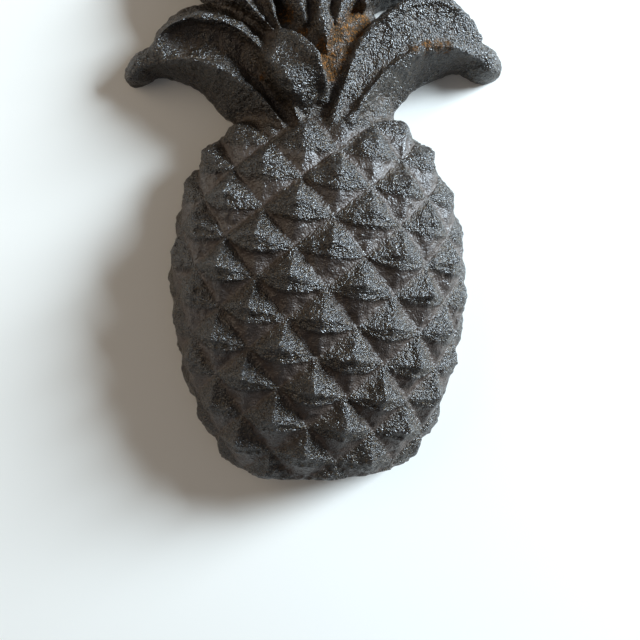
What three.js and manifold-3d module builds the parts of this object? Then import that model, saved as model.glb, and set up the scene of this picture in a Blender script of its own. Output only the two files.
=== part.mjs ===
// Cast iron pineapple ornament: a half-round fruit with a drooping leaf crown, cast in one piece.
// The casting lies on its flat, hollow back. X runs across it, Y runs from the foot to the crown
// and Z rises out of the back. All sizes are in millimetres.
import * as THREE from 'three';
import { mergeVertices } from 'three/addons/utils/BufferGeometryUtils.js';
import Module from 'manifold-3d';

// Fruit: two half-ellipses that meet at its widest level, cut off flat at the foot
const FRUIT_HALF_WIDTH = 75;
const WIDEST_LEVEL = 92;
const LOWER_SEMI_HEIGHT = 118;
const UPPER_SEMI_HEIGHT = 92;
const DEPTH_RATIO = 0.69;
const NECK_HALF_WIDTH = 40;
const NECK_LEVEL = 172;

// Scales: a skewed net of valleys laid over the fruit by arc length, one drooping pyramid a mesh
const NET_START_ACROSS = -10.5;
const NET_START_LEVEL = 144.4;
const STEP_RIGHT_ACROSS = 13.3;
const STEP_RIGHT_DOWN = 18.1;
const STEP_LEFT_ACROSS = 17.5;
const STEP_LEFT_DOWN = 13.3;
const NET_STRETCH = 0.05;
const SCALE_RELIEF = 7;
const SIDE_RELIEF = 3;
const NECK_RELIEF = 4;
const NECK_FADE = 45;
const FOOT_RELIEF = 3;
const FOOT_FADE = 26;
const CROWN_FADE = 12;
const SCALE_DROOP = 0.09;
const VALLEY_INSET_ACROSS = 2.5;
const VALLEY_INSET_DEEP = 3.5;
const VALLEY_SHARE = 0.12;

// Walls of the casting
const WALL = 6;
const FOOT_WALL = 7;
const SKIRT = 9;

// Crown: every leaf is swept along a spine, with its widths and heights as shares of its own
const CROWN_RISE = 118;
const CROWN_HALF_SPAN = 87;
const DROOPING_LEAF_WIDTH = 28;
const DROOPING_LEAF_HEIGHT = 29;
const FRONT_LEAF_WIDTH = 14;
const FRONT_LEAF_HEIGHT = 43;
const BUD_LEAF_WIDTH = 16;
const BUD_LEAF_HEIGHT = 34;
const UPPER_LEAF_WIDTH = 21;
const UPPER_LEAF_HEIGHT = 29;
const TOP_LEAF_WIDTH = 15;
const TOP_LEAF_HEIGHT = 30;
const LEAF_STATIONS = 12;
const WIDTH_SPREAD = 0.54;
const TAPER_POWER = 2.4;
const TIP_DROP = 0.75;
const RIM_SPREAD = 0.62;
const EDGE_SHARE = 0.48;
const BASE_FLARE = 0.4;
const HOLLOW_END = 0.8;
const HEART_ROOT = 16;
const HEART_RISE = 60;
const HEART_HALF_WIDTH = 36;
const HEART_HEIGHT = 27;

// Toes at the tips of the drooping leaves: places as in the crown, half lengths and droop in degrees
const TOE_HEIGHT = 15;
const RIGHT_TOE = { across: 0.89, up: 0.233, reach: 14, rise: 8.5, droop: 32 };
const LEFT_TOE = { across: 0.92, up: 0.196, reach: 11.5, rise: 6, droop: 42 };

const iron = new THREE.MeshStandardMaterial({ color: 0x2a2423, roughness: 0.55, metalness: 0.6 });

const wasm = await Module();
wasm.setup();
const clamp = THREE.MathUtils.clamp;
const lerp = THREE.MathUtils.lerp;
const smooth = THREE.MathUtils.smoothstep;

// Closed body from corner points and triangles that face out
function solidOf(points, triangles) {
  const geometry = new THREE.BufferGeometry();
  const flat = points.flatMap((p) => [p.x, p.y, p.z]);
  geometry.setAttribute('position', new THREE.Float32BufferAttribute(flat, 3));
  geometry.setIndex(triangles.flat());
  return solidFrom(geometry);
}

function solidFrom(geometry, tolerance = 1e-4) {
  const bare = geometry.clone();
  bare.deleteAttribute('normal');
  bare.deleteAttribute('uv');
  const merged = mergeVertices(bare, tolerance);
  const vertProperties = new Float32Array(merged.attributes.position.array);
  const triVerts = new Uint32Array(merged.index.array);
  return new wasm.Manifold(new wasm.Mesh({ numProp: 3, vertProperties, triVerts }));
}

function geometryOf(solid) {
  const mesh = solid.getMesh();
  const geometry = new THREE.BufferGeometry();
  geometry.setAttribute('position', new THREE.BufferAttribute(new Float32Array(mesh.vertProperties), 3));
  geometry.setIndex(new THREE.BufferAttribute(new Uint32Array(mesh.triVerts), 1));
  return geometry;
}

// Half width of the fruit at a level over the foot
function halfWidth(level) {
  const semiHeight = level < WIDEST_LEVEL ? LOWER_SEMI_HEIGHT : UPPER_SEMI_HEIGHT;
  const share = clamp((level - WIDEST_LEVEL) / semiHeight, -0.98, 0.98);
  const ellipse = FRUIT_HALF_WIDTH * Math.sqrt(1 - share * share);
  return level > WIDEST_LEVEL ? Math.max(NECK_HALF_WIDTH, ellipse) : ellipse;
}

// Angle on the quarter ellipse of the floor of the valleys at an arc length from its crest.
// Past the quarter's end the wall runs on straight down, and the rest is returned as a depth.
const ARC_STEPS = 40;
function angleAt(across, a, b) {
  let walked = 0;
  for (let i = 1; i <= ARC_STEPS; i++) {
    const t0 = ((i - 1) / ARC_STEPS) * (Math.PI / 2);
    const t1 = (i / ARC_STEPS) * (Math.PI / 2);
    const step = Math.hypot(a * (Math.sin(t1) - Math.sin(t0)), b * (Math.cos(t1) - Math.cos(t0)));
    if (walked + step >= across) return [lerp(t0, t1, (across - walked) / step), 0];
    walked += step;
  }
  return [Math.PI / 2, across - walked];
}

function levelOf(net) {
  const middle = NECK_LEVEL / 2;
  return net - (NET_STRETCH * (net - middle) ** 2) / middle;
}

// Point of the valley floor at a distance across (by arc length) and a level of the net
function floorPoint(across, net) {
  const level = levelOf(net);
  const a = halfWidth(level) - VALLEY_INSET_ACROSS;
  const b = halfWidth(level) * DEPTH_RATIO - VALLEY_INSET_DEEP;
  const [angle, below] = angleAt(Math.abs(across), a, b);
  return new THREE.Vector3(Math.sign(across) * a * Math.sin(angle), level, b * Math.cos(angle) - below);
}

function outward(across, net) {
  const d = 0.5;
  const alongAcross = floorPoint(across + d, net).sub(floorPoint(across - d, net));
  const alongNet = floorPoint(across, net + d).sub(floorPoint(across, net - d));
  return alongAcross.cross(alongNet).normalize();
}

// Height of a scale over its valleys: four facets that meet at a peak set low in the mesh.
// The lower two are blended, so the scale droops over a smooth underside.
function scaleHeight(right, left) {
  const peak = 0.5 + SCALE_DROOP;
  const upper = Math.min(right, left) / peak;
  const lowerRight = (1 - right) / (1 - peak);
  const lowerLeft = (1 - left) / (1 - peak);
  const gap = Math.abs(lowerRight - lowerLeft);
  const blend = 0.12 * Math.max(0, 1 - gap / 0.6) ** 2;
  return Math.max(0, Math.min(upper, Math.min(lowerRight, lowerLeft) - blend));
}

// Relief is full on the front, lower down the sides, near the neck and over the foot, and none
// under the crown
function reliefAt(normal, level) {
  const side = smooth(Math.abs(normal.x), 0.5, 1);
  const neck = smooth(level, NECK_LEVEL - NECK_FADE, NECK_LEVEL);
  const foot = 1 - smooth(level, 0, FOOT_FADE);
  const crown = 1 - smooth(level, NECK_LEVEL - CROWN_FADE, NECK_LEVEL);
  const low = [lerp(SCALE_RELIEF, SIDE_RELIEF, side), lerp(SCALE_RELIEF, NECK_RELIEF, neck)];
  return Math.min(...low, lerp(SCALE_RELIEF, FOOT_RELIEF, foot)) * crown;
}

// Even stops across a mesh, skewed so that their diagonals run through the peak
const FACE_STOPS = [0, VALLEY_SHARE, 0.5, 1 - VALLEY_SHARE, 1];
const CELL = FACE_STOPS.length - 1;
function drooped(s, t) {
  const lift = 2 * Math.min(s, t, 1 - s, 1 - t) * SCALE_DROOP;
  return [s + lift, t + lift];
}

// Distance across and level of a place in the net, counted in steps right and left from its start
const acrossAt = (right, left) => NET_START_ACROSS + right * STEP_RIGHT_ACROSS - left * STEP_LEFT_ACROSS;
const netAt = (right, left) => NET_START_LEVEL - right * STEP_RIGHT_DOWN - left * STEP_LEFT_DOWN;

// Every mesh of the net whose middle lies on the fruit or within a step of its cut edges
function meshesOnFruit() {
  const meshes = [];
  const margin = STEP_RIGHT_DOWN;
  const steps = Math.ceil((2 * NECK_LEVEL) / (STEP_RIGHT_DOWN + STEP_LEFT_DOWN)) + 1;
  for (let m = -steps; m <= steps; m++) {
    for (let n = -steps; n <= steps; n++) {
      const level = levelOf(netAt(m + 0.5, n + 0.5));
      if (level < -margin || level > NECK_LEVEL + margin) continue;
      const a = halfWidth(clamp(level, 0, NECK_LEVEL));
      const quarter = (Math.PI / 4) * (a + a * DEPTH_RATIO);
      if (Math.abs(acrossAt(m + 0.5, n + 0.5)) < quarter + margin) meshes.push([m, n]);
    }
  }
  return meshes;
}

// The shell of the fruit: its scales outside, a smooth wall behind them, joined round the edge
function fruitShell() {
  const outer = [];
  const inner = [];
  const known = new Map();
  const corner = (i, j) => {
    const key = `${i},${j}`;
    if (known.has(key)) return known.get(key);
    const m = Math.floor(i / CELL);
    const n = Math.floor(j / CELL);
    const [s, t] = drooped(FACE_STOPS[i - m * CELL], FACE_STOPS[j - n * CELL]);
    const across = acrossAt(m + s, n + t);
    const net = netAt(m + s, n + t);
    const floor = floorPoint(across, net);
    const normal = outward(across, net);
    const height = reliefAt(normal, floor.y) * scaleHeight(s, t);
    outer.push(floor.clone().addScaledVector(normal, height));
    inner.push(floor.clone().addScaledVector(normal, -WALL));
    known.set(key, outer.length - 1);
    return outer.length - 1;
  };
  const faces = [];
  for (const [m, n] of meshesOnFruit()) {
    for (let p = 0; p < CELL; p++) {
      for (let q = 0; q < CELL; q++) {
        const a = corner(m * CELL + p, n * CELL + q);
        const b = corner(m * CELL + p + 1, n * CELL + q);
        const c = corner(m * CELL + p + 1, n * CELL + q + 1);
        const d = corner(m * CELL + p, n * CELL + q + 1);
        if (p + q === CELL - 1) faces.push([a, d, b], [b, d, c]);
        else faces.push([a, d, c], [a, c, b]);
      }
    }
  }
  const edges = new Map();
  for (const [a, b, c] of faces) {
    for (const [from, to] of [[a, b], [b, c], [c, a]]) {
      if (edges.has(`${to},${from}`)) edges.delete(`${to},${from}`);
      else edges.set(`${from},${to}`, [from, to]);
    }
  }
  const back = outer.length;
  const triangles = [...faces];
  for (const [a, b, c] of faces) triangles.push([a + back, c + back, b + back]);
  for (const [from, to] of edges.values()) {
    triangles.push([to, from, from + back], [to, from + back, to + back]);
  }
  return solidOf([...outer, ...inner], triangles);
}

// Plate that closes the foot: the fruit's own section there, a wall thick
function footPlate() {
  const shape = new THREE.Shape();
  const a = halfWidth(0) - VALLEY_INSET_ACROSS;
  const b = halfWidth(0) * DEPTH_RATIO - VALLEY_INSET_DEEP;
  shape.absellipse(0, 0, a, b, 0, Math.PI, false, 0);
  shape.lineTo(-a, -SKIRT);
  shape.lineTo(a, -SKIRT);
  const settings = { depth: FOOT_WALL, bevelEnabled: false, curveSegments: 16 };
  const plate = new THREE.ExtrudeGeometry(shape, settings);
  plate.rotateX(Math.PI / 2);
  plate.translate(0, FOOT_WALL, 0);
  return plate;
}

const point = (x, y) => new THREE.Vector2(x, y);

// Cross-sections of the leaves, from the left side of a leaf to its right as seen from its base:
// shares of its width across, and of its height up, where a negative height lies under the back.
// A channelled leaf has a rim, a channel and a keel. Its rim moves outward toward the tip, and its
// hollow underside flares into the neck.
const channelled = ({ rim, channel, keel, below }) => (s) => {
  const crest = rim + RIM_SPREAD * s;
  const edge = EDGE_SHARE + RIM_SPREAD * s;
  const low = below + BASE_FLARE * (1 - s) ** 2;
  return [
    [-edge, -1], [-edge, 0.22], [-Math.min(crest + 0.1, edge - 0.03), 0.93], [-crest, 1],
    [0.08 - crest, 1 - 0.75 * channel], [lerp(-crest, keel, 0.5), 1 - channel],
    [keel - 0.12, 1 - 0.5 * channel], [keel, 1], [keel + 0.06, 0.92],
    [lerp(keel, low, 0.5), 0.46], [low, 0.1], [low, -1],
  ];
};
const keeled = () => [
  [-0.8, -1], [-0.8, 0.5], [-0.66, 0.78], [-0.3, 0.92], [0, 1],
  [0.42, 0.95], [0.88, 0.82], [1, 0.5], [1, -1],
];

// Leaf swept along a Bezier spine from its base to its tip. An inset draws every face in by that
// much and keeps under the floor of the channel. The leaf swells from its base to where it is
// widest and narrows to its tip. Its height rises from its share at the base and drops again
// toward the tip.
function leaf({ spine, width, height, section, channel, widest, base, foot, tip }, inset = 0) {
  const curve = new THREE.CubicBezierCurve(...spine);
  const end = inset > 0 ? HOLLOW_END : 1;
  const roof = inset > 0 ? 1 - channel : 1;
  const points = [];
  for (let i = 0; i <= LEAF_STATIONS; i++) {
    const s = (end * i) / LEAF_STATIONS;
    const at = curve.getPoint(s);
    const along = curve.getTangent(s);
    const across = point(along.y, -along.x);
    const swelling = lerp(base, 1, smooth(s, 0, widest));
    const narrowing = Math.max(tip, 1 - Math.max(0, (s - widest) / WIDTH_SPREAD) ** TAPER_POWER);
    const spread = width * Math.min(swelling, narrowing);
    const rise = height * (1 - TIP_DROP * s ** 5) * lerp(foot, 1, smooth(s, 0, 0.6));
    const closing = smooth(s, 0.72, 0.86);
    for (const [share, up] of section(s)) {
      const reach = share * spread;
      const drawn = Math.sign(reach) * Math.max(Math.abs(reach) - inset, Math.abs(share));
      const spot = at.clone().addScaledVector(across, inset > 0 ? drawn : reach);
      const filled = Math.min(roof, up > 0.6 ? lerp(up, 0.97, closing) : up);
      const z = up < 0 ? -SKIRT : Math.max(filled * rise - inset, filled - 1);
      points.push(new THREE.Vector3(spot.x, spot.y, z));
    }
  }
  const ring = section(0).length;
  const triangles = [];
  for (let i = 0; i < LEAF_STATIONS; i++) {
    for (let k = 0; k < ring; k++) {
      const next = (k + 1) % ring;
      const a = i * ring + k;
      const b = i * ring + next;
      triangles.push([a, b, b + ring], [a, b + ring, a + ring]);
    }
  }
  const last = LEAF_STATIONS * ring;
  for (let k = 1; k < ring - 1; k++) {
    triangles.push([0, k + 1, k]);
    triangles.push([last, last + k, last + k + 1]);
  }
  return solidOf(points, triangles);
}

// The same leaf on the other side of the middle line
const otherSide = (form) => ({
  ...form,
  spine: form.spine.map((p) => point(-p.x, p.y)),
  section: (s) => form.section(s).map(([share, up]) => [-share, up]).reverse(),
});

// Shares that most leaves keep: where a leaf is widest, its widths at the base and the tip, and its
// height at the base
const usual = { channel: 0, widest: 0.4, base: 0.3, tip: 0.12, foot: 1 };

// Place in the crown: shares of its half span across and of its rise over the neck
const place = (across, up) => point(across * CROWN_HALF_SPAN, NECK_LEVEL + up * CROWN_RISE);

const droopingLeaf = (section, tipUp) => ({
  ...usual,
  spine: [place(0.09, -0.12), place(0.28, 0.24), place(0.63, 0.34), place(0.98, tipUp)],
  width: DROOPING_LEAF_WIDTH,
  height: DROOPING_LEAF_HEIGHT,
  section: channelled(section),
  channel: section.channel,
  base: 0.6,
});
const upperSection = { rim: 0.2, channel: 0.2, keel: 0.2, below: 0.5 };
const upperLeaf = (rootAcross, rootUp) => ({
  ...usual,
  spine: [place(rootAcross, rootUp), place(0.33, rootUp + 0.16), place(0.53, 0.63), place(0.8, 0.54)],
  width: UPPER_LEAF_WIDTH,
  height: UPPER_LEAF_HEIGHT,
  section: channelled(upperSection),
  channel: upperSection.channel,
  widest: 0.5,
  base: 0.2,
});
const flankLeaf = {
  ...usual,
  spine: [place(0.07, 0.3), place(0.16, 0.54), place(0.28, 0.73), place(0.5, 0.83)],
  width: TOP_LEAF_WIDTH,
  height: TOP_LEAF_HEIGHT,
  section: keeled,
};
const topLeaf = {
  ...usual,
  spine: [place(0, 0.3), place(-0.035, 0.51), place(0.035, 0.76), place(0, 1)],
  width: TOP_LEAF_WIDTH,
  height: TOP_LEAF_HEIGHT,
  section: keeled,
};
const frontLeaf = {
  ...usual,
  spine: [place(-0.01, -0.06), place(-0.09, 0.03), place(-0.16, 0.16), place(-0.31, 0.225)],
  width: FRONT_LEAF_WIDTH,
  height: FRONT_LEAF_HEIGHT,
  section: keeled,
  widest: 0.5,
  base: 0.65,
  tip: 0.6,
  foot: 0.5,
};
const budLeaf = {
  ...usual,
  spine: [place(0.03, 0.205), place(0.015, 0.27), place(0, 0.34), place(-0.01, 0.42)],
  width: BUD_LEAF_WIDTH,
  height: BUD_LEAF_HEIGHT,
  section: keeled,
  widest: 0.42,
  base: 0.1,
  tip: 0.7,
  foot: 0.72,
};

// The round toe that a drooping leaf ends in
function toe(side, { across, up, reach, rise, droop }) {
  const lump = new THREE.SphereGeometry(1, 14, 8);
  lump.scale(reach, rise, TOE_HEIGHT);
  lump.rotateZ(-side * THREE.MathUtils.degToRad(droop));
  const spot = place(across, up);
  lump.translate(side * spot.x, spot.y, 0);
  return solidFrom(lump);
}

// The lump at the heart of the crown that the leaves grow from
function heart(inset = 0) {
  const lump = new THREE.SphereGeometry(1, 18, 10);
  const reach = (HEART_ROOT + HEART_RISE) / 2;
  lump.scale(HEART_HALF_WIDTH - inset, reach - inset, HEART_HEIGHT - inset);
  lump.translate(0, NECK_LEVEL - HEART_ROOT + reach, 0);
  return solidFrom(lump);
}

function block(size, middle) {
  const box = new THREE.BoxGeometry(...size);
  box.translate(...middle);
  return solidFrom(box);
}

const rightSection = { rim: 0.33, channel: 0.1, keel: 0.06, below: 0.46 };
const leftSection = { rim: 0.02, channel: 0.34, keel: 0.32, below: 0.68 };
const hollowed = [
  droopingLeaf(rightSection, 0.165),
  otherSide(droopingLeaf(leftSection, 0.14)),
  upperLeaf(0.22, 0.38),
  otherSide(upperLeaf(0.17, 0.23)),
];
const massive = [flankLeaf, otherSide(flankLeaf), topLeaf, frontLeaf, budLeaf];

let casting = fruitShell().add(solidFrom(footPlate())).add(heart());
for (const form of [...hollowed, ...massive]) casting = casting.add(leaf(form));
casting = casting.add(toe(1, RIGHT_TOE)).add(toe(-1, LEFT_TOE));
for (const form of hollowed) casting = casting.subtract(leaf(form, WALL));
casting = casting.subtract(heart(WALL));

// The back and the foot are cut flat
const FAR = 400;
casting = casting.subtract(block([FAR, 2 * FAR, FAR], [0, 0, -FAR / 2]));
casting = casting.subtract(block([FAR, FAR, FAR], [0, -FAR / 2, 0]));

// Slits finer than a thousandth of a millimetre, left by the joins, are closed
const closed = solidFrom(geometryOf(casting), 1e-3).decompose();
const [whole] = closed.sort((a, b) => b.volume() - a.volume());

const pineapple = new THREE.Mesh(geometryOf(whole), iron);
pineapple.name = 'pineapple_casting';
const { min, max } = whole.boundingBox();
pineapple.position.set(-(min[0] + max[0]) / 2, -(min[1] + max[1]) / 2, 0);

const ornament = new THREE.Group();
ornament.add(pineapple);
export default ornament;
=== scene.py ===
# %% [markdown]
# A pineapple cast in iron: a half-round fruit, a crown of leaves and a hollow back.
# The real one is poured into a sand mould, so every edge is a little round and every face is
# grainy. The solid model gives its sizes, and this lesson makes the cast skin over it. One could
# sculpt that skin by hand, but formulas keep it true to the sizes and alike on every run.

# %% Load the solid model
import math
import bpy
import numpy as np
from mathutils import Matrix, Vector


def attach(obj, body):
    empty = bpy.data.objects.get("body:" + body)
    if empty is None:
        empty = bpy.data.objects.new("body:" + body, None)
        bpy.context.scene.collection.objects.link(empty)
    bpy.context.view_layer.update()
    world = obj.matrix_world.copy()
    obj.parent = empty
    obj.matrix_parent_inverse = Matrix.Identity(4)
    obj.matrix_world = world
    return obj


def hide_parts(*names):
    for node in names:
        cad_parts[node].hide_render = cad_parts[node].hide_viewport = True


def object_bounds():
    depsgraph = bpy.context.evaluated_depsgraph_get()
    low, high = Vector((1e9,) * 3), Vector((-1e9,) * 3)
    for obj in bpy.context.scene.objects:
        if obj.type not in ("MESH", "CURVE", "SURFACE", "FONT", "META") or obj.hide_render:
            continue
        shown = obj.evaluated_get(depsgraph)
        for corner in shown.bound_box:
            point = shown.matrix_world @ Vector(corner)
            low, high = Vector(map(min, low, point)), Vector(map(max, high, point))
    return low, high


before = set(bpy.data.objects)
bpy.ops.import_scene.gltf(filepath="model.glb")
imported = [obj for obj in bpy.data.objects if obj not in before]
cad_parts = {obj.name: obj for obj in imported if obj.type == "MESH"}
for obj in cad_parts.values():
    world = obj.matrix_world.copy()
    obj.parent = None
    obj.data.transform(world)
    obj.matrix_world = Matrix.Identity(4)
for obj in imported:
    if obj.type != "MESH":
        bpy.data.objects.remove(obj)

solid_box = [list(corner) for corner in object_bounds()]
print("solid model box in metres:", solid_box)

# %% [markdown]
# Lengths are in millimetres while the shapes are worked out, with the foot at level 0 and the
# middle of the fruit at 0 across, and they become metres only when a mesh is made. The frame
# starts at the middle of the whole box. One large leaf reaches a little farther out than the
# other, so the middle of the fruit lies a little aside of it.

# %% Sizes of the casting
MM = 0.001
FRUIT_HALF_WIDTH = 75.0
WIDEST_LEVEL = 92.0
LOWER_SEMI_HEIGHT = 118.0
UPPER_SEMI_HEIGHT = 92.0
DEPTH_RATIO = 0.69
NECK_HALF_WIDTH = 40.0
NECK_LEVEL = 172.0
VALLEY_INSET_ACROSS = 2.5
VALLEY_INSET_DEEP = 3.5
WALL = 6.0
FOOT_WALL = 7.0
UNDER_BACK = 6.0
CROWN_RISE = 118.0
CROWN_HALF_SPAN = 87.0
FRUIT_MIDDLE = -0.325
foot_level = solid_box[0][1] / MM
start = np.array([FRUIT_MIDDLE, foot_level, 0.0])
print("the foot lies at", round(foot_level, 2), "mm in the frame")


def smooth_step(value, low, high):
    """0 below low, 1 above high, and the cubic 3t^2 - 2t^3 between them."""
    t = np.clip((value - low) / (high - low), 0.0, 1.0)
    return t * t * (3.0 - 2.0 * t)


def blend(a, b, share):
    """a where share is 0, b where it is 1, and in proportion between."""
    return a + (b - a) * share


# %% [markdown]
# The outline of the fruit is two half-ellipses that meet at its widest level, and each section
# across it is half an ellipse too. One function of the level therefore gives the whole body,
# where a profile drawn by hand would need a point for every bulge.

# %% The form of the fruit
ELLIPSE_LIMIT = 0.98


def half_width(level):
    """Half-ellipse above and below the widest level, never thinner than the neck at the top."""
    semi = np.where(level < WIDEST_LEVEL, LOWER_SEMI_HEIGHT, UPPER_SEMI_HEIGHT)
    share = np.clip((level - WIDEST_LEVEL) / semi, -ELLIPSE_LIMIT, ELLIPSE_LIMIT)
    ellipse = FRUIT_HALF_WIDTH * np.sqrt(1.0 - share**2)
    return np.where(level > WIDEST_LEVEL, np.maximum(NECK_HALF_WIDTH, ellipse), ellipse)


def half_axes(level):
    """Half-axes of the section across the fruit at the bottom of the valleys."""
    half = half_width(level)
    return half - VALLEY_INSET_ACROSS, half * DEPTH_RATIO - VALLEY_INSET_DEEP


SKIRT_STEPS = 4


def fruit_rings(levels, turns, inset, skirt):
    """Rings of the fruit: at each level x = a sin(turn) and z = b cos(turn) for turns from one
    side over the front to the other, then straight down on both sides under the back."""
    level, turn = np.meshgrid(levels, turns, indexing="ij")
    a, b = half_axes(level)
    x = (a - inset) * np.sin(turn)
    z = (b - inset) * np.cos(turn)
    down = np.linspace(skirt, skirt / SKIRT_STEPS, SKIRT_STEPS)[None, :]
    x = np.concatenate([x[:, :1] + 0 * down, x, x[:, -1:] + 0 * down], axis=1)
    z = np.concatenate([z[:, :1] - down, z, z[:, -1:] - down[:, ::-1]], axis=1)
    return np.stack([x, np.repeat(levels[:, None], x.shape[1], axis=1), z], axis=2)


foot_half = float(half_width(np.array(0.0)))
print("half width at the foot:", round(foot_half, 1), "mm, at the neck:", NECK_HALF_WIDTH, "mm")

# %% [markdown]
# The scales sit in a skewed net of valleys. Counted in steps to the right and to the left from
# one crossing, every place has two numbers, and their fractions say where in its scale it lies.
# Scales could be set one by one instead, but then their valleys would not meet so evenly.

# %% The net of valleys
NET_START_ACROSS = -10.5
NET_START_LEVEL = 144.4
STEP_RIGHT_ACROSS = 13.3
STEP_RIGHT_DOWN = 18.1
STEP_LEFT_ACROSS = 17.5
STEP_LEFT_DOWN = 13.3
NET_STRETCH = 0.05


def net_level(level):
    """Undoes the net's stretch by solving it as a quadratic. With m the middle of the fruit's
    height, level = net - s (net - m)^2 / m, where s is the stretch."""
    middle = NECK_LEVEL / 2
    bend = NET_STRETCH / middle
    inside = np.maximum(0.0, 1.0 - 4.0 * bend * (level - middle))
    return middle + (1.0 - np.sqrt(inside)) / (2.0 * bend)


def net_steps(across, level):
    """Steps right and left of a place, from the two linear equations of the net."""
    x = across - NET_START_ACROSS
    y = NET_START_LEVEL - net_level(level)
    whole = STEP_RIGHT_ACROSS * STEP_LEFT_DOWN + STEP_LEFT_ACROSS * STEP_RIGHT_DOWN
    right = (x * STEP_LEFT_DOWN + y * STEP_LEFT_ACROSS) / whole
    left = (y * STEP_RIGHT_ACROSS - x * STEP_RIGHT_DOWN) / whole
    return right, left


net_rows = net_steps(0.0, 0.0)[0] - net_steps(0.0, NECK_LEVEL)[0]
print("rows of scales from the neck to the foot:", round(float(net_rows), 1))

# %% [markdown]
# Each scale is a drooping pyramid. Its two upper faces rise to a crest, and under it a lip hangs
# over a smooth lower face like an eyelid. The lip is the brightest line on the real casting, so
# it gets a bead of its own. Every scale varies a little, from a table of seeded chance.

# %% The form of one scale
PEAK_DOWN = 0.40
LIP_SAG = 0.085
LIP_HEIGHT = 0.64
LIP_FLATNESS = 0.9
LOWER_HOLLOW = 1.1
DISH = 0.05
BEAD = 0.085
BEAD_WIDTH = 0.024
RIB = 0.07
RIB_WIDTH = 0.10
RIB_START = 0.05
RIB_FULL = 0.4
VALLEY_ROUND = 0.06
UNEVEN_PLACE = 0.02
UNEVEN_HEIGHT = 0.06
LEAST_GAP = 1e-3
SCALE_TABLE = 64
unevenness = np.random.default_rng(12).normal(0.0, 1.0, (3, SCALE_TABLE, SCALE_TABLE))


def place_in_scale(right, left):
    """Number of the scale, way down it from its top corner, way aside, and where its lip lies."""
    cell = np.floor(right).astype(int) % SCALE_TABLE, np.floor(left).astype(int) % SCALE_TABLE
    right_part = right - np.floor(right)
    left_part = left - np.floor(left)
    aside = np.abs(right_part - left_part)
    lip = 0.5 + (LIP_SAG + UNEVEN_PLACE * unevenness[1][cell]) * (1 - aside**2)
    return cell, (right_part + left_part) / 2, aside, lip


def scale_form(right, left):
    """Height of a scale over its valleys, as a share of the relief. With d the way down from
    the top corner and w the way aside from the middle, two upper faces rise evenly from the
    upper valleys to a crest. Below the crest a dish reaches down to the lip, a smile of
    d = 1/2 + sag (1 - w^2) from side corner to side corner. Below the lip the face falls to the
    lower valleys. A rib runs down the middle to the peak, and a bead along the lip. At last
    f^2 / (f + r) rounds the bottom of the valleys."""
    cell, down, aside, lip = place_in_scale(right, left)
    peak = PEAK_DOWN + UNEVEN_PLACE * unevenness[0][cell]
    crest = peak + (0.5 - peak) * aside
    crest_height = (crest - aside / 2) / peak
    lip_height = LIP_HEIGHT * (1 - aside) ** LIP_FLATNESS
    above = (down - aside / 2) / peak
    share = np.clip((down - crest) / np.maximum(lip - crest, LEAST_GAP), 0, 1)
    dish = blend(crest_height, lip_height, share) - DISH * (1 - aside) * np.sin(math.pi * share)
    fall = np.clip((1 - down - aside / 2) / np.maximum(1 - lip - aside / 2, LEAST_GAP), 0, 1)
    below = lip_height * fall**LOWER_HOLLOW
    form = np.where(down < crest, above, np.where(down < lip, dish, below))
    rib = smooth_step(down, RIB_START, RIB_FULL) * (1 - smooth_step(down, peak, lip))
    form = form + RIB * np.exp(-((aside / RIB_WIDTH) ** 2)) * rib
    form = form + BEAD * (1 - aside**4) * np.exp(-(((down - lip) / BEAD_WIDTH) ** 2))
    form = np.maximum(form, 0.0) * (1.0 + UNEVEN_HEIGHT * unevenness[2][cell])
    return form * form / (form + VALLEY_ROUND)


print("height at the peak:", round(float(scale_form(np.array(PEAK_DOWN), np.array(PEAK_DOWN))), 2))

# %% [markdown]
# The scales are lower down the sides, at the neck and over the foot, where deep ones would lock
# in the sand. So their height depends on the place, and fades out where the crown begins.

# %% How high the scales stand
SCALE_RELIEF = 7.0
SIDE_RELIEF = 3.0
SIDE_START = 0.5
NECK_RELIEF = 6.0
NECK_FADE = 40.0
FOOT_RELIEF = 3.0
FOOT_FADE = 26.0
CROWN_FADE = 9.0


def relief(normal, level):
    """Full on the front, lower down the sides, at the neck and over the foot, and none under the
    crown."""
    side = smooth_step(np.abs(normal[..., 0]), SIDE_START, 1.0)
    neck = smooth_step(level, NECK_LEVEL - NECK_FADE, NECK_LEVEL)
    crown = 1.0 - smooth_step(level, NECK_LEVEL - CROWN_FADE, NECK_LEVEL)
    foot = 1.0 - smooth_step(level, 0.0, FOOT_FADE)
    low = np.minimum(blend(SCALE_RELIEF, SIDE_RELIEF, side), blend(SCALE_RELIEF, NECK_RELIEF, neck))
    return np.minimum(low, blend(SCALE_RELIEF, FOOT_RELIEF, foot)) * crown


at_foot = relief(np.array([0.0, 0.0, 1.0]), 0.0)
print("relief on the front:", SCALE_RELIEF, "mm, at the foot:", round(float(at_foot), 1), "mm")

# %% [markdown]
# Every closed body here is a tube: a stack of rings with a cap at each end. The fruit's rings
# run over its front and back under the casting, where a flat cut takes them off later. A closed
# body is what the remesh and the cuts below need, and rings come straight from the formulas.

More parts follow.
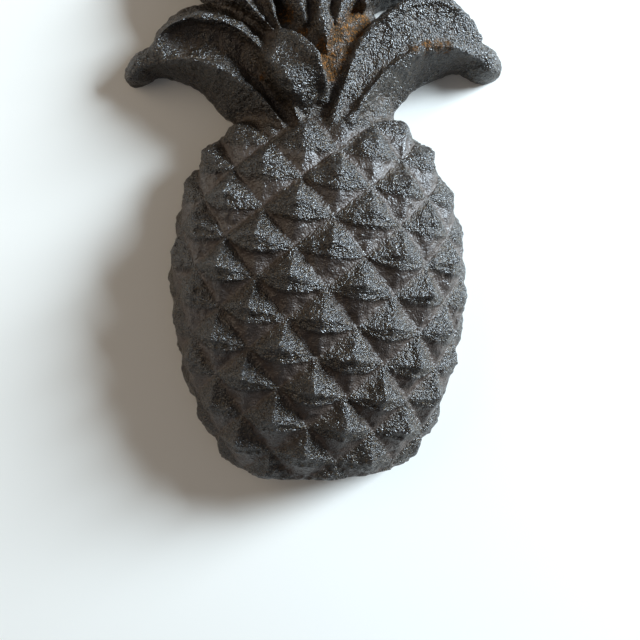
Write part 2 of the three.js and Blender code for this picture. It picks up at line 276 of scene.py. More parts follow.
# %% Tubes of rings
def tube(rings):
    """Vertices and faces of a stack of closed rings, with a fan of triangles over each end."""
    rows, columns, _ = rings.shape
    vertices = rings.reshape(-1, 3)
    row, column = np.meshgrid(np.arange(rows - 1), np.arange(columns), indexing="ij")
    following = (column + 1) % columns
    a = row * columns + column
    b = row * columns + following
    quads = np.stack([a, b, b + columns, a + columns], axis=2).reshape(-1, 4)
    ends = np.stack([rings[0].mean(axis=0), rings[-1].mean(axis=0)])
    first, last = len(vertices), len(vertices) + 1
    around = np.arange(columns)
    after = (around + 1) % columns
    top = (rows - 1) * columns
    first_fan = np.stack([np.full(columns, first), after, around], axis=1)
    last_fan = np.stack([np.full(columns, last), top + around, top + after], axis=1)
    return np.concatenate([vertices, ends]), quads, np.concatenate([first_fan, last_fan])


def joined(bodies):
    """Several tubes in one list of vertices, with the faces' numbers moved on."""
    vertices, quads, triangles, count = [], [], [], 0
    for points, four, three in bodies:
        vertices.append(points)
        quads.append(four + count)
        triangles.append(three + count)
        count += len(points)
    return np.concatenate(vertices), np.concatenate(quads), np.concatenate(triangles)


def mesh_piece(name, body):
    """A mesh object from millimetre points, moved so that the foot lies where the solid's is."""
    vertices, quads, triangles = body
    placed = (vertices + start) * MM
    mesh = bpy.data.meshes.new(name)
    mesh.from_pydata(placed.tolist(), [], quads.tolist() + triangles.tolist())
    piece = bpy.data.objects.new(name, mesh)
    bpy.context.scene.collection.objects.link(piece)
    return piece


TURN_COUNT = 161
LEVEL_STEP = 1.5
ABOVE_NECK = 14.0
fruit_turns = np.linspace(-math.pi / 2, math.pi / 2, TURN_COUNT)
fruit_levels = np.arange(-UNDER_BACK, NECK_LEVEL + ABOVE_NECK, LEVEL_STEP)
fruit_skin = tube(fruit_rings(fruit_levels, fruit_turns, 0.0, UNDER_BACK))
print("fruit:", len(fruit_skin[0]), "points, highest", round(float(fruit_skin[0][:, 2].max()), 1), "mm")

# %% [markdown]
# The hollow behind the fruit follows its front a wall's thickness in, so the same rings are used
# again, drawn in by the wall, with wider steps because nothing fine shows there.

# %% The hollow behind the fruit
HOLLOW_RINGS = 80
HOLLOW_SKIRT = UNDER_BACK + 3.0
hollow_levels = np.linspace(FOOT_WALL, NECK_LEVEL, HOLLOW_RINGS)
fruit_hollow = tube(fruit_rings(hollow_levels, fruit_turns[::2], WALL, HOLLOW_SKIRT))
print("hollow:", len(fruit_hollow[0]), "points")

# %% [markdown]
# Each leaf is a cross-section carried along a curved spine. The four large leaves are
# channelled, with a rim, a hollow channel and a keel. The three at the top are plain ridges, the
# one in front is dished, and the bud is a little roof. A section needs only the corners that its
# shape shows.

# %% Cross-sections of the leaves
RIM_SPREAD = 0.62
EDGE_SHARE = 0.48
BASE_FLARE = 0.4


def channelled(rim, channel, keel, below):
    """Cross-section as corners (share across, share up). From the back it rises to the crest of
    the rim, drops into a channel, rises to the keel and falls in a hollow underside that flares
    at the base. The rim moves outward toward the tip, by RIM_SPREAD s."""
    def section(s):
        crest = rim + RIM_SPREAD * s
        edge = EDGE_SHARE + RIM_SPREAD * s
        low = below + BASE_FLARE * (1 - s) ** 2
        return [
            (-edge, -1), (-edge, 0.22), (-np.minimum(crest + 0.1, edge - 0.03), 0.93), (-crest, 1),
            (0.08 - crest, 1 - 0.75 * channel), (blend(-crest, keel, 0.5), 1 - channel),
            (keel - 0.09 + 0 * s, 0.96 - 0.5 * channel), (keel + 0 * s, 1.03), (keel + 0.07 + 0 * s, 0.88),
            (blend(keel, low, 0.5), 0.46), (low, 0.1), (low, -1),
        ]
    return section


def keeled(s):
    """Cross-section of a plain leaf with a low keel and thick sides."""
    shape = [(-0.8, -1), (-0.8, 0.5), (-0.66, 0.78), (-0.3, 0.92), (0, 1),
             (0.42, 0.95), (0.88, 0.82), (1, 0.5), (1, -1)]
    return [(across + 0 * s, up) for across, up in shape]


def cupped(s):
    """Cross-section of the leaf in front: a steep left face, a dished one and a raised right edge."""
    shape = [(-0.8, -1), (-0.8, 0.25), (-0.7, 0.5), (-0.3, 0.87), (-0.16, 0.905),
             (0.15, 0.9), (0.5, 0.91), (0.8, 0.98), (0.9, 0.99), (1, 0.75), (1, -1)]
    return [(across + 0 * s, up) for across, up in shape]


def roofed(s):
    """Cross-section of the bud: two straight faces that meet in a ridge."""
    shape = [(-1, -1), (-1, 0.3), (-0.12, 0.97), (0, 1), (0.12, 0.97), (1, 0.4), (1, -1)]
    return [(across + 0 * s, up) for across, up in shape]


print("corners:", {kind.__name__: len(kind(0.0)) for kind in (keeled, cupped, roofed)})

# %% [markdown]
# A spine is a cubic curve with four control places in the crown. A modifier could bend a
# straight leaf along it, but working out the rings gives the leaf and its hollow from one
# function, the hollow simply a wall's thickness smaller.

# %% Carry a section along a spine
STATIONS = 120
PER_EDGE = 6
WIDTH_SPREAD = 0.54
TAPER_POWER = 2.4
HOLLOW_END = 0.8
FOOT_REACH = 0.6
CLOSING_START = 0.72
CLOSING_END = 0.86
CLOSED_UP = 0.97
ROOF_CORNER = 0.6


def in_crown(across, up):
    """Place in the crown, from shares of its half span across and of its rise over the neck."""
    return np.array([across * CROWN_HALF_SPAN, NECK_LEVEL + up * CROWN_RISE])


def spine_curve(spine, s):
    """Cubic Bezier point and unit direction at each share s of the way along."""
    p = [in_crown(across, up) for across, up in spine]
    t = s[:, None]
    at = (1 - t) ** 3 * p[0] + 3 * (1 - t) ** 2 * t * p[1] + 3 * (1 - t) * t**2 * p[2] + t**3 * p[3]
    along = (1 - t) ** 2 * (p[1] - p[0]) + 2 * (1 - t) * t * (p[2] - p[1]) + t**2 * (p[3] - p[2])
    return at, along / np.linalg.norm(along, axis=1, keepdims=True)


def leaf(form, inset=0.0):
    """Rings of a leaf: the section, stretched to the leaf's width and height at each station,
    stands across the spine. The width swells from the base to the widest place and narrows to
    the tip as 1 - t^p, with p the taper's power. The height is 1 - drop s^5 of the leaf's own.
    An inset draws every face in by that much, and keeps under the floor of the channel. Toward
    its end the hollow closes, as its upper corners draw level."""
    s = np.linspace(0.0, HOLLOW_END if inset else 1.0, STATIONS)
    at, along = spine_curve(form["spine"], s)
    side = np.stack([along[:, 1], -along[:, 0]], axis=1)
    swelling = blend(form["base"], 1.0, smooth_step(s, 0.0, form["widest"]))
    narrowing = 1 - np.maximum(0, (s - form["widest"]) / WIDTH_SPREAD) ** TAPER_POWER
    spread = form["width"] * np.minimum(swelling, np.maximum(form["tip"], narrowing))
    standing = blend(form["foot"], 1.0, smooth_step(s, 0.0, FOOT_REACH))
    rise = form["height"] * (1 - form["drop"] * s**5) * standing
    closing = smooth_step(s, CLOSING_START, CLOSING_END)
    roof = 1 - form["channel"] if inset else 1.0
    corners = []
    for share, up in form["section"](s):
        reach = share * spread
        drawn = np.sign(reach) * np.maximum(np.abs(reach) - inset, np.abs(share))
        across = drawn if inset else reach
        filled = np.minimum(roof, blend(up, CLOSED_UP, closing) if up > ROOF_CORNER else up + 0 * s)
        z = -UNDER_BACK - inset / 2 + 0 * s if up < 0 else np.maximum(filled * rise - inset, filled - 1)
        corners.append(np.column_stack([at + side * across[:, None], z]))
    corners = np.stack(corners, axis=1)
    steps = np.arange(PER_EDGE)[None, None, :, None] / PER_EDGE
    fine = corners[:, :, None] + (np.roll(corners, -1, axis=1) - corners)[:, :, None] * steps
    rings = fine.reshape(STATIONS, -1, 3)
    return tube(rings[:, ::-1] * np.array([-1.0, 1.0, 1.0]) if form["mirrored"] else rings)


def leaf_form(spine, width, height, section, channel=0.0, mirrored=False,
              widest=0.4, base=0.3, tip=0.12, foot=1.0, drop=0.75):
    """The sizes of one leaf, by name."""
    return dict(spine=spine, width=width, height=height, section=section, channel=channel,
                mirrored=mirrored, widest=widest, base=base, tip=tip, foot=foot, drop=drop)


def drooping(tip_up, rim, channel, keel, below, **more):
    """A large leaf that arches out over the shoulder of the fruit."""
    spine = [(0.09, -0.12), (0.28, 0.24), (0.63, 0.34), (0.98, tip_up)]
    return leaf_form(spine, 28, 29, channelled(rim, channel, keel, below), channel, base=0.6, **more)


def upper(root_across, root_up, **more):
    """A leaf of the second row, which stands over the drooping one."""
    spine = [(root_across, root_up), (0.33, root_up + 0.16), (0.53, 0.63), (0.8, 0.54)]
    return leaf_form(spine, 21, 29, channelled(0.2, 0.2, 0.2, 0.5), 0.2, widest=0.5, base=0.2, **more)


print("stations along a leaf:", STATIONS)

# %% [markdown]
# Two drooping leaves arch over the shoulders, one broad and one deeply channelled, and the rest
# stand up behind them. The hollow is taken to reach only into the four large ones, so the others
# are massive. The photograph cuts the crown off, so its top is finished in keeping.

# %% The nine leaves
flank_spine = [(0.07, 0.3), (0.16, 0.54), (0.28, 0.73), (0.5, 0.83)]
top_spine = [(0.0, 0.3), (-0.035, 0.51), (0.035, 0.76), (0.0, 1.0)]
front_spine = [(-0.01, -0.06), (-0.09, 0.03), (-0.16, 0.16), (-0.31, 0.225)]
bud_spine = [(0.03, 0.205), (0.015, 0.27), (0.0, 0.34), (-0.01, 0.42)]
hollow_leaves = [
    drooping(0.165, rim=0.33, channel=0.1, keel=0.06, below=0.46),
    drooping(0.14, rim=0.02, channel=0.34, keel=0.32, below=0.68, mirrored=True),
    upper(0.22, 0.38),
    upper(0.17, 0.23, mirrored=True),
]
massive_leaves = [
    leaf_form(flank_spine, 15, 30, keeled),
    leaf_form(flank_spine, 15, 30, keeled, mirrored=True),
    leaf_form(top_spine, 15, 30, keeled),
    leaf_form(front_spine, 15, 43, cupped, widest=0.6, base=0.6, tip=0.66, foot=0.5, drop=0.45),
    leaf_form(bud_spine, 16, 34, roofed, widest=0.42, base=0.1, tip=0.7, foot=0.86),
]
print("leaves:", len(hollow_leaves + massive_leaves))

# %% [markdown]
# A lump at the heart of the crown joins the leaves to the neck, and each drooping leaf ends in a
# round toe. All three are ellipsoids, drawn as rings from one pole to the other. A ready-made
# sphere would do as well, but rings go through the same function as every other body.

# %% The heart and the toes
HEART_ROOT = 16.0
HEART_RISE = 60.0
HEART_HALF_WIDTH = 36.0
HEART_HEIGHT = 27.0
TOE_HEIGHT = 15.0
POLE_GAP = 0.02
RING_COUNT = 60
RING_POINTS = 120


def ellipsoid(middle, half, turn=0.0):
    """Rings square to one axis: radius sin(v), place -cos(v), for v from pole to pole. The whole
    is then turned in the plane of the back."""
    v = np.linspace(POLE_GAP, math.pi - POLE_GAP, RING_COUNT)[:, None]
    w = np.linspace(0.0, 2 * math.pi, RING_POINTS, endpoint=False)[None, ::-1]
    x = half[0] * np.sin(v) * np.cos(w)
    y = -half[1] * np.cos(v) + 0 * w
    z = half[2] * np.sin(v) * np.sin(w)
    turned = x * math.cos(turn) - y * math.sin(turn), x * math.sin(turn) + y * math.cos(turn)
    return tube(np.stack([middle[0] + turned[0], middle[1] + turned[1], z], axis=2))


def heart(inset=0.0):
    """The lump between the neck and the leaves."""
    reach = (HEART_ROOT + HEART_RISE) / 2
    half = (HEART_HALF_WIDTH - inset, reach - inset, HEART_HEIGHT - inset)
    return ellipsoid((0.0, NECK_LEVEL - HEART_ROOT + reach), half)


toes = [
    ellipsoid(in_crown(0.89, 0.233), (14.0, 8.5, TOE_HEIGHT), -math.radians(32)),
    ellipsoid(in_crown(-0.92, 0.196), (11.5, 6.0, TOE_HEIGHT), math.radians(42)),
]
skin_bodies = [fruit_skin, heart()] + toes + [leaf(form) for form in hollow_leaves + massive_leaves]
hollow_bodies = [fruit_hollow, heart(WALL)] + [leaf(form, WALL) for form in hollow_leaves]
skin = mesh_piece("cast_skin", joined(skin_bodies))
hollow = mesh_piece("cast_hollow", joined(hollow_bodies))
print("skin", len(skin.data.polygons), "faces, hollow", len(hollow.data.polygons), "faces")

# %% [markdown]
# The bodies overlap, and iron flows together. A voxel remesh gives one skin round all of them,
# and a few rounds of smoothing melt the sharp joints as the sand mould does. A Boolean union
# would keep the joints knife-sharp and leave long thin faces that can't carry a grain.

# %% Pour the bodies into one
SKIN_VOXEL = 0.98
HOLLOW_VOXEL = 2.8


def fused(piece, voxel):
    """The piece's mesh, remeshed by a live modifier and kept as it comes out."""
    remesh = piece.modifiers.new("pour", "REMESH")
    remesh.mode = "VOXEL"
    remesh.voxel_size = voxel * MM
    graph = bpy.context.evaluated_depsgraph_get()
    mesh = bpy.data.meshes.new_from_object(piece.evaluated_get(graph))
    piece.modifiers.clear()
    piece.data = mesh
    return piece


def points_of(mesh):
    """All vertices as one array, in millimetres with the foot at 0."""
    flat = np.empty(len(mesh.vertices) * 3)
    mesh.vertices.foreach_get("co", flat)
    return flat.reshape(-1, 3) / MM - start


def set_points(mesh, points):
    """Puts millimetre points back into the mesh."""
    mesh.vertices.foreach_set("co", ((points + start) * MM).ravel())
    mesh.update()


def neighbour_mean(values, edges, count):
    """Mean over each vertex's neighbours, by sums along the edges."""
    columns = values.reshape(count, -1)
    total = np.empty_like(columns)
    for k in range(columns.shape[1]):
        total[:, k] = np.bincount(edges[:, 0], columns[edges[:, 1], k], count)
        total[:, k] += np.bincount(edges[:, 1], columns[edges[:, 0], k], count)
    degree = np.bincount(edges.ravel(), minlength=count)
    return (total / np.maximum(degree, 1)[:, None]).reshape(values.shape)


def edges_of(mesh):
    """Pairs of vertex numbers."""
    flat = np.empty(len(mesh.edges) * 2, dtype=np.int64)
    mesh.edges.foreach_get("vertices", flat)
    return flat.reshape(-1, 2)


def normals_of(mesh):
    """Vertex normals as one array."""
    flat = np.empty(len(mesh.vertices) * 3)
    mesh.vertex_normals.foreach_get("vector", flat)
    return flat.reshape(-1, 3)


def melted(points, edges, rounds, amount=0.5):
    """Moves each point part of the way to its neighbours' mean, several times."""
    for _ in range(rounds):
        points = blend(points, neighbour_mean(points, edges, len(points)), amount)
    return points


fused(skin, SKIN_VOXEL)
fused(hollow, HOLLOW_VOXEL)
print("poured skin", len(skin.data.vertices), "points, hollow", len(hollow.data.vertices))

# %% [markdown]
# Sand leaves its grain in the iron: broad waves from the rammed mould, and lumps of a few
# millimetres. A sum of many plane waves in random directions gives such a field at any point.

# %% Sand in the mould
WAVE_COUNT = 40
SHORTEST, LONGEST = 0.8, 1.3


def sand(points, wavelength, seed):
    """Sum of cosines with random directions and phases, scaled to a spread of about 1."""
    chance = np.random.default_rng(seed)
    direction = chance.normal(size=(WAVE_COUNT, 3))
    direction /= np.linalg.norm(direction, axis=1, keepdims=True)
    lengths = wavelength * chance.uniform(SHORTEST, LONGEST, (WAVE_COUNT, 1))
    turns = direction * (2 * math.pi / lengths)
    phase = chance.uniform(0, 2 * math.pi, WAVE_COUNT)
    return np.cos(points @ turns.T + phase).sum(axis=1) * math.sqrt(2.0 / WAVE_COUNT)


def roughened(mesh, rounds, layers):
    """Melts the mesh and then lifts each point along its normal by the layers of sand."""
    edges = edges_of(mesh)
    set_points(mesh, melted(points_of(mesh), edges, rounds))
    points = points_of(mesh)
    lift = sum(height * sand(points, length, seed) for length, height, seed in layers)
    set_points(mesh, points + normals_of(mesh) * lift[:, None])


# Each layer is a wavelength in mm, a height in mm and a seed
SAND_LAYERS = [(26.0, 0.28, 1), (9.0, 0.22, 2), (4.2, 0.15, 3), (2.4, 0.10, 4)]
HOLLOW_LAYERS = [(22.0, 0.25, 5), (8.0, 0.2, 6)]
HOLLOW_MELTS = 6
roughened(hollow.data, HOLLOW_MELTS, HOLLOW_LAYERS)
print("sand layers on the skin:", len(SAND_LAYERS))

# %% [markdown]
# Now the scales rise from the smooth fruit. Every point finds its place in the net, from its
# level and from its distance round the section, and moves out by the height of its scale. This
# keeps their edges as crisp as the mesh allows, where a remesh would have blunted them.

# %% Raise the scales
SKIN_MELTS = 2
GAUSS_PLACES, GAUSS_WEIGHTS = np.polynomial.legendre.leggauss(8)


def way_round(points):
    """Distance round the section from the crest: the integral of the ellipse's arc length over
    the angle, by Gauss's rule of eight places, and straight down below the sides."""
    a, b = half_axes(points[:, 1])
    angle = np.arctan2(points[:, 0] / a, np.maximum(points[:, 2], 0) / b)
    places = angle[:, None] * (GAUSS_PLACES[None, :] + 1) / 2
    speed = np.sqrt((a[:, None] * np.cos(places)) ** 2 + (b[:, None] * np.sin(places)) ** 2)
    arc = (speed * GAUSS_WEIGHTS).sum(axis=1) * angle / 2
    return arc + np.sign(points[:, 0]) * np.maximum(-points[:, 2], 0)


skin_edges = edges_of(skin.data)
skin_points = melted(points_of(skin.data), skin_edges, SKIN_MELTS)
set_points(skin.data, skin_points)
skin_normals = normals_of(skin.data)
skin_steps = net_steps(way_round(skin_points), skin_points[:, 1])
skin_rise = relief(skin_normals, skin_points[:, 1]) * scale_form(*skin_steps)
set_points(skin.data, skin_points + skin_normals * skin_rise[:, None])
roughened(skin.data, 0, SAND_LAYERS)
print("highest scale:", round(float(skin_rise.max()), 2), "mm")

# %% [markdown]
# The hollow is cut out of the skin, and two blocks take off the back and the foot flat, as the
# mould's parting plane does. A Boolean that keeps closed bodies closed does all three.

# %% Cut the hollow, the back and the foot
BLOCK = 400.0


def block(name, low, high):
    """A closed box between two corners."""
    sides = [(low[axis], high[axis]) for axis in range(3)]
    corners = np.array([[x, y, z] for z in sides[2] for y in sides[1] for x in sides[0]])
    quads = np.array([[0, 2, 3, 1], [4, 5, 7, 6], [0, 1, 5, 4], [2, 6, 7, 3], [0, 4, 6, 2], [1, 3, 7, 5]])
    return mesh_piece(name, (corners, quads, np.empty((0, 3), dtype=int)))


def cut_away(piece, cutters):
    """Takes the cutters out of the piece and removes them."""
    for cutter in cutters:
        boolean = piece.modifiers.new("cut", "BOOLEAN")
        boolean.operation = "DIFFERENCE"
        boolean.solver = "MANIFOLD"
        boolean.object = cutter
    graph = bpy.context.evaluated_depsgraph_get()
    mesh = bpy.data.meshes.new_from_object(piece.evaluated_get(graph))
    piece.modifiers.clear()
    piece.data = mesh
    for cutter in cutters:
        bpy.data.objects.remove(cutter)


under = block("under_back", (-BLOCK, -BLOCK, -BLOCK), (BLOCK, BLOCK, 0.0))
below = block("below_foot", (-BLOCK, -BLOCK, -BLOCK), (BLOCK, 0.0, BLOCK))
cut_away(skin, [hollow, under, below])
casting = skin
casting.name = "pineapple_cast"
casting.data.name = "pineapple_cast"
low, high = np.array(solid_box) / MM - start
set_points(casting.data, np.clip(points_of(casting.data), low, high))
triangles = sum(len(face.vertices) - 2 for face in casting.data.polygons)
print("casting:", len(casting.data.vertices), "points,", triangles, "triangles")

# %% [markdown]
# Paint wears on the ridges, and dirt and rust gather in the hollows. How far a point stands out
# from the melted surface round it tells ridges from hollows, so that is kept on each point,
# where the shader can read it. The photograph shows rust in the crown, where water stands, so
# its spots are placed there one by one.

# %% Ridges, hollows and rust
NEAR_MELTS = 14
FAR_MELTS = 60
FINE_WEIGHT = 1.5
DIP_START, DIP_FULL = 0.15, 1.3
RIDGE_START, RIDGE_FULL = 0.25, 1.5
SPOT_CORE = 0.3
RUST_LEAST = 0.45
LIP_EDGE = 0.07
# Each spot is a place across, a level and a reach, in mm
RUST_SPOTS = [
    (4.0, 190.0, 8.0), (9.0, 197.0, 7.0), (15.0, 205.0, 7.0), (20.0, 212.0, 7.0), (-15.0, 213.0, 6.0),
    (48.0, 200.0, 4.0), (53.0, 200.5, 4.0), (58.0, 200.5, 3.0), (46.0, 183.0, 3.0), (-26.0, 187.0, 2.5),
    (-8.0, 205.0, 4.0), (42.0, 198.0, 3.0), (3.0, 198.0, 8.0), (9.0, 205.0, 8.0), (15.0, 212.0, 8.0),
]
edges = edges_of(casting.data)
points = points_of(casting.data)
normals = normals_of(casting.data)
near = melted(points, edges, NEAR_MELTS)
far = melted(near, edges, FAR_MELTS)
fine_dip = ((near - points) * normals).sum(axis=1)
broad_dip = ((far - points) * normals).sum(axis=1)
hollows = smooth_step(broad_dip + FINE_WEIGHT * fine_dip, DIP_START, DIP_FULL)
ridges = smooth_step(-broad_dip - FINE_WEIGHT * fine_dip, RIDGE_START, RIDGE_FULL)
spots = np.zeros(len(points))
for across, level, reach in RUST_SPOTS:
    distance = np.hypot(points[:, 0] - across, points[:, 1] - level)
    spots = np.maximum(spots, 1.0 - smooth_step(distance, SPOT_CORE * reach, reach))
rust = np.clip(spots * (RUST_LEAST + (1 - RUST_LEAST) * hollows), 0, 1)
_, down, aside, lip = place_in_scale(*net_steps(way_round(points), points[:, 1]))
on_fruit = 1.0 - smooth_step(points[:, 1], NECK_LEVEL - 2 * CROWN_FADE, NECK_LEVEL)
under_lip = smooth_step(down, lip, lip + LIP_EDGE) * on_fruit
kept_values = {"hollows": hollows, "ridges": ridges, "rust": rust, "under_lip": under_lip}
for name, values in kept_values.items():
    layer = casting.data.attributes.new(name, "FLOAT", "POINT")
    layer.data.foreach_set("value", values.astype(np.float32))
    print(name, "mean", round(float(values.mean()), 3))

SHARP_ANGLE = 50.0
casting.data.polygons.foreach_set("use_smooth", np.ones(len(casting.data.polygons), dtype=bool))
casting.data.set_sharp_from_angle(angle=math.radians(SHARP_ANGLE))
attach(casting, "root")
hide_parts("pineapple_casting")

# %% [markdown]
# Shader maths reads best as plain expressions. A small class wraps a socket, so that adding or
# multiplying two of them adds the Math node that does it. Placing each node by hand would take
# three lines for every sum.

# %% A socket that can be reckoned with
class Wire:
    """One output socket of a material's nodes. Sums and products of wires add Math nodes."""

    tree = None

    def __init__(self, socket):
        self.socket = socket

    @classmethod
    def node(cls, kind, settings=None, values=None, output=0):
        """Adds any node: first its settings, then the values or wires of its sockets."""
        made = cls.tree.nodes.new(kind)
        for name, value in (settings or {}).items():
            setattr(made, name, value)
        for key, value in (values or {}).items():
            if isinstance(value, Wire):
                cls.tree.links.new(value.socket, made.inputs[key])
            else:
                made.inputs[key].default_value = value
        return cls(made.outputs[output]) if made.outputs else made

    @classmethod
    def math(cls, operation, first, second):
        return cls.node("ShaderNodeMath", {"operation": operation}, {0: first, 1: second})

    def __add__(self, other):
        return self.math("ADD", self, other)

    def __radd__(self, other):
        return self.math("ADD", other, self)

    def __sub__(self, other):
        return self.math("SUBTRACT", self, other)

    def __rsub__(self, other):
        return self.math("SUBTRACT", other, self)

    def __mul__(self, other):
        return self.math("MULTIPLY", self, other)

    def __rmul__(self, other):
        return self.math("MULTIPLY", other, self)

    def between(self, low, high):
        """0 below low, 1 above high, and a straight line between."""
        return self.node("ShaderNodeMapRange", {}, {"Value": self, "From Min": low, "From Max": high})


print("signs a wire takes:", "+ - *")

# %% [markdown]
# The iron is painted nearly black and has dulled: smooth enough to glint, rough with sand, brown
# with dust in the valleys and orange with rust where water stood in the crown. Noise read from
# the object's own coordinates sticks to the iron from every side and needs no image.

# %% Colours and grain of the iron
BLACK_PAINT = (0.0160, 0.0112, 0.0080, 1.0)
BROWN_DUST = (0.056, 0.0350, 0.022, 1.0)
# A pale mauve for the faces under the lips: painted bounce light from below, not a colour of the iron.
UNDER_LIP_BOUNCE_LIGHT = (0.085, 0.062, 0.052, 1.0)
GOLDEN_SAND = (0.105, 0.070, 0.032, 1.0)
WORN_PAINT = (0.030, 0.027, 0.026, 1.0)
ORANGE_RUST = (0.30, 0.120, 0.024, 1.0)
DARK_RUST = (0.058, 0.035, 0.018, 1.0)
GRAIN_MM = 1.4
FINE_MM = 0.8
PATCH_MM = 14.0
SPECK_MM = 1.0
RGBA_SHARE, RGBA_FIRST, RGBA_SECOND, RGBA_RESULT = 0, 6, 7, 2

iron = bpy.data.materials.new("painted cast iron")
iron.use_nodes = True
iron.node_tree.nodes.clear()
Wire.tree = iron.node_tree
place = Wire.node("ShaderNodeTexCoord", output=3)


def kept(name):
    """The number kept on each point under this name."""
    return Wire.node("ShaderNodeAttribute", {"attribute_name": name}, output=2)


def grain(size_mm, detail, roughness=0.6):
    """Noise whose grains are about size_mm across."""
    return Wire.node("ShaderNodeTexNoise", None, {
        "Vector": place, "Scale": 1.0 / (size_mm * MM), "Detail": detail, "Roughness": roughness})


def mixed(share, first, second):
    """The first colour where share is 0, the second where it is 1."""
    return Wire.node("ShaderNodeMix", {"data_type": "RGBA"}, {
        RGBA_SHARE: share, RGBA_FIRST: first, RGBA_SECOND: second}, output=RGBA_RESULT)


coarse = grain(GRAIN_MM, 2.0)
fine = grain(FINE_MM, 1.0)
patches = grain(PATCH_MM, 4.0)
specks = grain(SPECK_MM, 1.0)
print("grains in mm:", GRAIN_MM, FINE_MM, PATCH_MM, SPECK_MM)

# %% [markdown]
# Each finish is a share between 0 and 1, worked out from what is kept on the points and broken
# up by the grain: dust in hollows and under the lips, worn paint on ridges, golden sand in the
# grain, rust in spots.

# %% Where dust, wear, sand and rust lie
HOLLOW_DUST = 0.7
LIP_DUST = 0.45
RUST_DUST = 0.8
DUST_PATCHES = 0.8
RUST_PATCHES = 1.2
RUST_STRENGTH = 1.5
RUST_GRAIN = 1.6
RIDGE_WEAR = 0.8
COARSE_GRAIN = 1.2
LIP_SAND = 0.12


def uneven(noise, strength):
    """The noise, moved so that it lies evenly about 0, times its strength."""
    return (noise - 0.5) * strength


silt = kept("hollows") * HOLLOW_DUST + kept("under_lip") * LIP_DUST + kept("rust") * RUST_DUST
dust = (silt + uneven(patches, DUST_PATCHES) + uneven(coarse, COARSE_GRAIN)).between(0.1, 1.1)
worn = (kept("ridges") * RIDGE_WEAR + uneven(coarse, COARSE_GRAIN)).between(0.1, 1.1)
stained = kept("rust") * RUST_STRENGTH + uneven(coarse, RUST_GRAIN) + uneven(patches, RUST_PATCHES)
stained = stained.between(0.35, 0.95)
sandy = (fine - kept("under_lip") * LIP_SAND).between(0.56, 0.68)
print("nodes so far:", len(iron.node_tree.nodes))

# %% [markdown]
# The colours are laid over each other by those shares, and the faces under the lips are lifted
# toward a pale mauve: painted bounce light from below. The grain is too fine for the mesh, so a
# bump stands for it, weaker under the lips where the real iron is smooth. Rust is matt, so it
# has a shader of its own, mixed over the paint's.

# %% Painted cast iron
SAND_SHARE = 0.85
BOUNCE_LIGHT_SHARE = 0.4
PAINT_ROUGHNESS = 0.30
PAINT_SHINE = 0.8
RUST_ROUGHNESS = 0.9
RUST_SHINE = 0.2
GRAIN_DEPTH_MM = 2.0
COARSE_SHARE = 0.55
LIP_SMOOTHNESS = 0.45
base = mixed(worn, mixed(dust, BLACK_PAINT, BROWN_DUST), WORN_PAINT)
# The faces under the lips are lifted toward the pale mauve: painted bounce light from below.
base = mixed(kept("under_lip") * BOUNCE_LIGHT_SHARE, mixed(sandy * SAND_SHARE, base, GOLDEN_SAND), UNDER_LIP_BOUNCE_LIGHT)
roughness = PAINT_ROUGHNESS + dust * 0.2 + uneven(patches, 0.2) + uneven(fine, 0.3)
grit = 1.0 - kept("under_lip") * LIP_SMOOTHNESS
height = (coarse * COARSE_SHARE + fine * (1 - COARSE_SHARE)) * grit
bump = Wire.node("ShaderNodeBump", None, {
    "Strength": 1.0, "Distance": GRAIN_DEPTH_MM * MM, "Height": height})
painted = Wire.node("ShaderNodeBsdfPrincipled", None, {
    "Base Color": base, "Roughness": roughness, "Normal": bump, "Specular IOR Level": PAINT_SHINE})
rusted = Wire.node("ShaderNodeBsdfPrincipled", None, {
    "Base Color": mixed(specks.between(0.50, 0.74), DARK_RUST, ORANGE_RUST),
    "Roughness": RUST_ROUGHNESS, "Normal": bump, "Specular IOR Level": RUST_SHINE})
shader = Wire.node("ShaderNodeMixShader", None, {0: stained, 1: painted, 2: rusted})
Wire.node("ShaderNodeOutputMaterial", None, {"Surface": shader})
casting.data.materials.clear()
casting.data.materials.append(iron)
print("nodes in the iron:", len(iron.node_tree.nodes))

# %% [markdown]
# The casting can't stand unheld, so it lies on its flat back on a plain pale floor.

# %% The floor
FLOOR_HALF = 3.0
FLOOR_COLOUR = (0.92, 0.89, 0.83, 1.0)
FLOOR_ROUGHNESS = 0.9
floor_mesh = bpy.data.meshes.new("floor")
floor_corners = [(-FLOOR_HALF, -FLOOR_HALF, 0), (FLOOR_HALF, -FLOOR_HALF, 0),
                 (FLOOR_HALF, FLOOR_HALF, 0), (-FLOOR_HALF, FLOOR_HALF, 0)]
floor_mesh.from_pydata(floor_corners, [], [(0, 1, 2, 3)])
floor = bpy.data.objects.new("floor", floor_mesh)
bpy.context.scene.collection.objects.link(floor)
plaster = bpy.data.materials.new("pale floor")
plaster.use_nodes = True
plain = plaster.node_tree.nodes["Principled BSDF"]
plain.inputs["Base Color"].default_value = FLOOR_COLOUR
plain.inputs["Roughness"].default_value = FLOOR_ROUGHNESS
floor_mesh.materials.append(plaster)
print("floor:", 2 * FLOOR_HALF, "m square")

# %% [markdown]
# The camera looks down at the lying casting from where the photograph looked at it: close, a
# little to the left and below its middle, so that the picture cuts the crown off as there. Its
# place and turns were found by setting the valleys' crossings against the photograph.

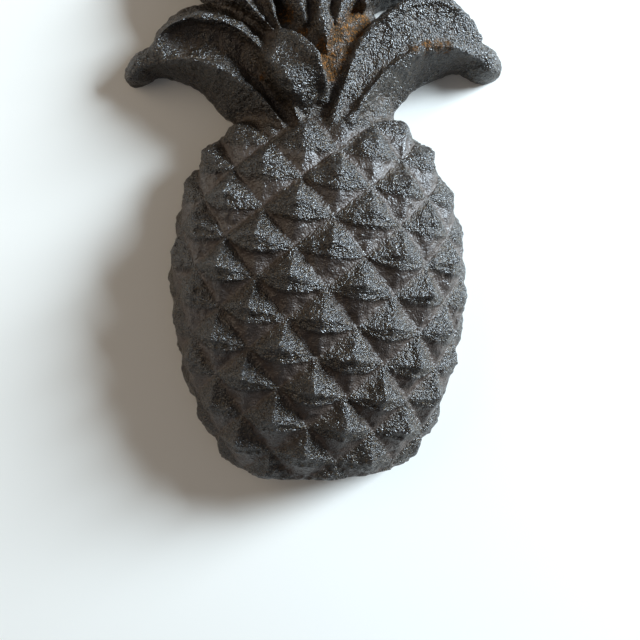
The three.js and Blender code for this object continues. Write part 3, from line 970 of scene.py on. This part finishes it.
# %% The camera
CAMERA_ACROSS = -29.3
CAMERA_LEVEL = 122.5
CAMERA_HEIGHT = 321.3
CAMERA_PITCH = 8.66
CAMERA_YAW = 5.24
CAMERA_ROLL = 0.8
LENS_MM = 36.0
SENSOR_MM = 36.0
NEAREST_SEEN = 0.01
camera_data = bpy.data.cameras.new("camera")
camera_data.sensor_width = SENSOR_MM
camera_data.lens = LENS_MM
camera_data.clip_start = NEAREST_SEEN
camera = bpy.data.objects.new("camera", camera_data)
bpy.context.scene.collection.objects.link(camera)
turn = (Matrix.Rotation(math.radians(CAMERA_ROLL), 3, "Z")
        @ Matrix.Rotation(math.radians(CAMERA_PITCH), 3, "X")
        @ Matrix.Rotation(math.radians(CAMERA_YAW), 3, "Y"))
spot = (np.array([CAMERA_ACROSS, CAMERA_LEVEL, CAMERA_HEIGHT]) + start) * MM
camera.matrix_world = Matrix.Translation(spot.tolist()) @ turn.transposed().to_4x4()
bpy.context.scene.camera = camera
print("camera", round(float(spot[2]), 2), "m above the floor")

# %% [markdown]
# Near-black paint shows only what it mirrors. One strong low window at the right gives every
# grain its glint, a weak warm lamp lifts the left side, and the world is kept dim so that the
# valleys stay dark. The plain "Standard" view keeps that contrast, which the softer default
# view would flatten.

# %% The lights
LIT_PLACE = (0, 0, 0.02)
WORLD_COLOUR = (0.95, 0.95, 1.0, 1.0)
WORLD_STRENGTH = 0.12


def soft_light(name, where, size, power, colour):
    """Square area light at a place in metres, turned to face the casting."""
    data = bpy.data.lights.new(name, "AREA")
    data.size = size
    data.energy = power
    data.color = colour
    lamp = bpy.data.objects.new(name, data)
    lamp.location = where
    lamp.rotation_euler = (Vector(where) - Vector(LIT_PLACE)).to_track_quat("Z", "Y").to_euler()
    bpy.context.scene.collection.objects.link(lamp)


soft_light("window", (1.55, 0.76, 0.74), size=0.66, power=111.0, colour=(0.74, 0.88, 1.0))
soft_light("lamp", (-0.95, 0.35, 0.50), size=1.0, power=4.5, colour=(1.0, 0.84, 0.64))
world = bpy.data.worlds.new("room light")
world.use_nodes = True
world.node_tree.nodes["Background"].inputs["Color"].default_value = WORLD_COLOUR
world.node_tree.nodes["Background"].inputs["Strength"].default_value = WORLD_STRENGTH
bpy.context.scene.world = world
bpy.context.scene.view_settings.view_transform = "Standard"
